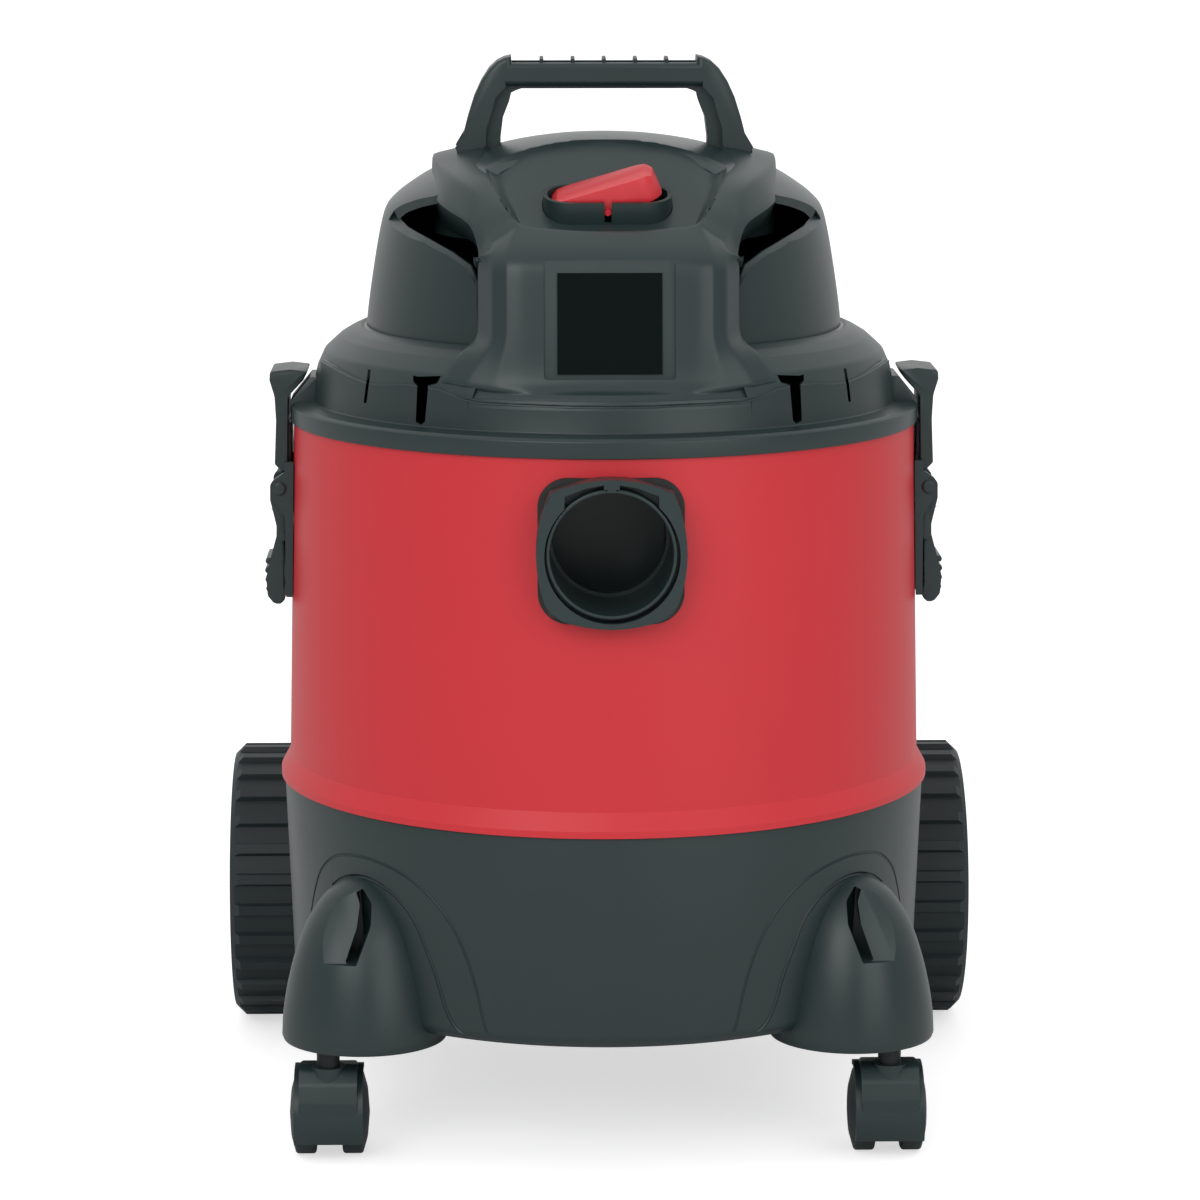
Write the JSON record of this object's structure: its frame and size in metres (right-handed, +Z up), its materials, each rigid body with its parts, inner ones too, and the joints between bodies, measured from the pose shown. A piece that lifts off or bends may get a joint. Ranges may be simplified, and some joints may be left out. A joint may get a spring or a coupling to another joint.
{
  "type": "shop vacuum",
  "caption": "Drum shop vacuum: tapered tank in a wheeled base, motor head with carry handle and rocker switch, side latches, front hose inlet, rear wheels and swivel casters.",
  "frame": {"origin": "floor level, centre of the footprint of the whole part", "axes": "+Z up, the hose inlet and switch face -Y, +X is the object's left-hand side seen from in front as right"},
  "size_m": [0.388, 0.392, 0.52],
  "materials": {
    "red_plastic": "satin moulded",
    "dark_plastic": "fine textured moulded",
    "dark_gloss": "polished moulded",
    "badge_plastic": "smooth inlay",
    "rocker_red": "smooth",
    "wheel_plastic": "textured",
    "steel": "zinc plated",
    "dark_steel": "blackened",
    "rubber": "soft",
    "foam": "open cell",
    "light_plastic": "natural moulded",
    "copper": "lacquered wire and laminations",
    "carbon": "graphite"
  },
  "bodies": {
    "tub": {"tank": "red_plastic", "base": "dark_plastic", "base_screws": "steel", "rear_axle": "steel", "axle_push_nuts": "steel", "hose_inlet": "dark_plastic", "inlet_gasket": "rubber", "inlet_screws": "steel", "inlet_deflector": "dark_plastic", "caster_sockets": "steel", "latch_bracket_left": "dark_plastic", "latch_bracket_right": "dark_plastic", "latch_pivot_pins": "steel"},
    "head": {"lid": "dark_plastic", "lid_gasket": "rubber", "dome": "dark_gloss", "console_handle": "dark_plastic", "badge_plate": "badge_plastic", "switch_bezel": "dark_plastic", "switch_body": "light_plastic", "cord_gland": "rubber", "exhaust_grille": "dark_plastic", "exhaust_baffles": "dark_gloss", "motor_mounts": "rubber", "fan_housing": "steel", "field_stator": "copper", "lower_frame": "light_plastic", "upper_frame": "light_plastic", "bearings": "steel", "carbon_brushes": "carbon", "filter_cage": "dark_plastic", "foam_filter": "foam", "head_screws": "steel"},
    "rotor": {"motor_shaft": "steel", "armature": "copper", "impeller": "steel", "cooling_fan": "light_plastic"},
    "rocker": {"rocker": "rocker_red"},
    "float": {"float": "light_plastic"},
    "rear_wheel_right": {"rear_wheel_right": "wheel_plastic", "hub_cap_right": "wheel_plastic"},
    "caster_right": {"caster_stem_right": "dark_steel", "caster_hood_right": "dark_plastic", "caster_axle_right": "steel"},
    "caster_wheel_outer_right": {"caster_wheel_outer_right": "wheel_plastic"},
    "caster_wheel_inner_right": {"caster_wheel_inner_right": "wheel_plastic"},
    "latch_lever_right": {"latch_lever_right": "dark_plastic", "hook_pin_right": "steel"},
    "latch_hook_right": {"latch_hook_right": "dark_plastic"},
    "rear_wheel_left": {"rear_wheel_left": "wheel_plastic", "hub_cap_left": "wheel_plastic"},
    "caster_left": {"caster_stem_left": "dark_steel", "caster_hood_left": "dark_plastic", "caster_axle_left": "steel"},
    "caster_wheel_outer_left": {"caster_wheel_outer_left": "wheel_plastic"},
    "caster_wheel_inner_left": {"caster_wheel_inner_left": "wheel_plastic"},
    "latch_lever_left": {"latch_lever_left": "dark_plastic", "hook_pin_left": "steel"},
    "latch_hook_left": {"latch_hook_left": "dark_plastic"}
  },
  "joints": [
    {"name": "head_lift", "type": "slide", "parent": "tub", "child": "head", "axis": [0, 0, 1], "range_m": [0, 0.11]},
    {"name": "rear_wheel_right_roll", "type": "hinge", "parent": "tub", "child": "rear_wheel_right", "pos_m": [0.172, 0.123, 0.073], "axis": [1, 0, 0], "continuous": true},
    {"name": "caster_right_swivel", "type": "hinge", "parent": "tub", "child": "caster_right", "pos_m": [0.1345, -0.149, 0.07], "axis": [0, 0, 1], "continuous": true},
    {"name": "caster_wheel_outer_right_roll", "type": "hinge", "parent": "caster_right", "child": "caster_wheel_outer_right", "pos_m": [0.1345, -0.137, 0.02], "axis": [1, 0, 0], "continuous": true},
    {"name": "caster_wheel_inner_right_roll", "type": "hinge", "parent": "caster_right", "child": "caster_wheel_inner_right", "pos_m": [0.1345, -0.137, 0.02], "axis": [1, 0, 0], "continuous": true},
    {"name": "latch_lever_right_swing", "type": "hinge", "parent": "tub", "child": "latch_lever_right", "pos_m": [0.1595, -0.03, 0.311], "axis": [0, -1, 0], "range_deg": [0, 50.5]},
    {"name": "latch_hook_right_swing", "type": "hinge", "parent": "latch_lever_right", "child": "latch_hook_right", "pos_m": [0.1582, -0.03, 0.297], "axis": [0, 1, 0], "range_deg": [0, 125.5]},
    {"name": "rear_wheel_left_roll", "type": "hinge", "parent": "tub", "child": "rear_wheel_left", "pos_m": [-0.172, 0.123, 0.073], "axis": [1, 0, 0], "continuous": true},
    {"name": "caster_left_swivel", "type": "hinge", "parent": "tub", "child": "caster_left", "pos_m": [-0.1345, -0.149, 0.07], "axis": [0, 0, 1], "continuous": true},
    {"name": "caster_wheel_outer_left_roll", "type": "hinge", "parent": "caster_left", "child": "caster_wheel_outer_left", "pos_m": [-0.1345, -0.137, 0.02], "axis": [1, 0, 0], "continuous": true},
    {"name": "caster_wheel_inner_left_roll", "type": "hinge", "parent": "caster_left", "child": "caster_wheel_inner_left", "pos_m": [-0.1345, -0.137, 0.02], "axis": [1, 0, 0], "continuous": true},
    {"name": "latch_lever_left_swing", "type": "hinge", "parent": "tub", "child": "latch_lever_left", "pos_m": [-0.1595, -0.03, 0.311], "axis": [0, 1, 0], "range_deg": [0, 50.5]},
    {"name": "latch_hook_left_swing", "type": "hinge", "parent": "latch_lever_left", "child": "latch_hook_left", "pos_m": [-0.1582, -0.03, 0.297], "axis": [0, -1, 0], "range_deg": [0, 125.5]},
    {"name": "rotor_spin", "type": "hinge", "parent": "head", "child": "rotor", "pos_m": [0, -0.03, 0.4], "axis": [0, 0, 1], "continuous": true},
    {"name": "rocker_tip", "type": "hinge", "parent": "head", "child": "rocker", "pos_m": [0, -0.10733, 0.45562], "axis": [0, 0.9703, 0.2419], "range_deg": [0, 34]},
    {"name": "float_rise", "type": "slide", "parent": "head", "child": "float", "axis": [0, 0, 1], "range_m": [0, 0.02]}
  ],
  "couplings": [
    {"joint": "latch_lever_right_swing", "follows": "head_lift", "rad_per_m": 7.9333},
    {"joint": "latch_hook_right_swing", "follows": "head_lift", "rad_per_m": 19.833},
    {"joint": "latch_lever_left_swing", "follows": "head_lift", "rad_per_m": 7.9333},
    {"joint": "latch_hook_left_swing", "follows": "head_lift", "rad_per_m": 19.833}
  ]
}
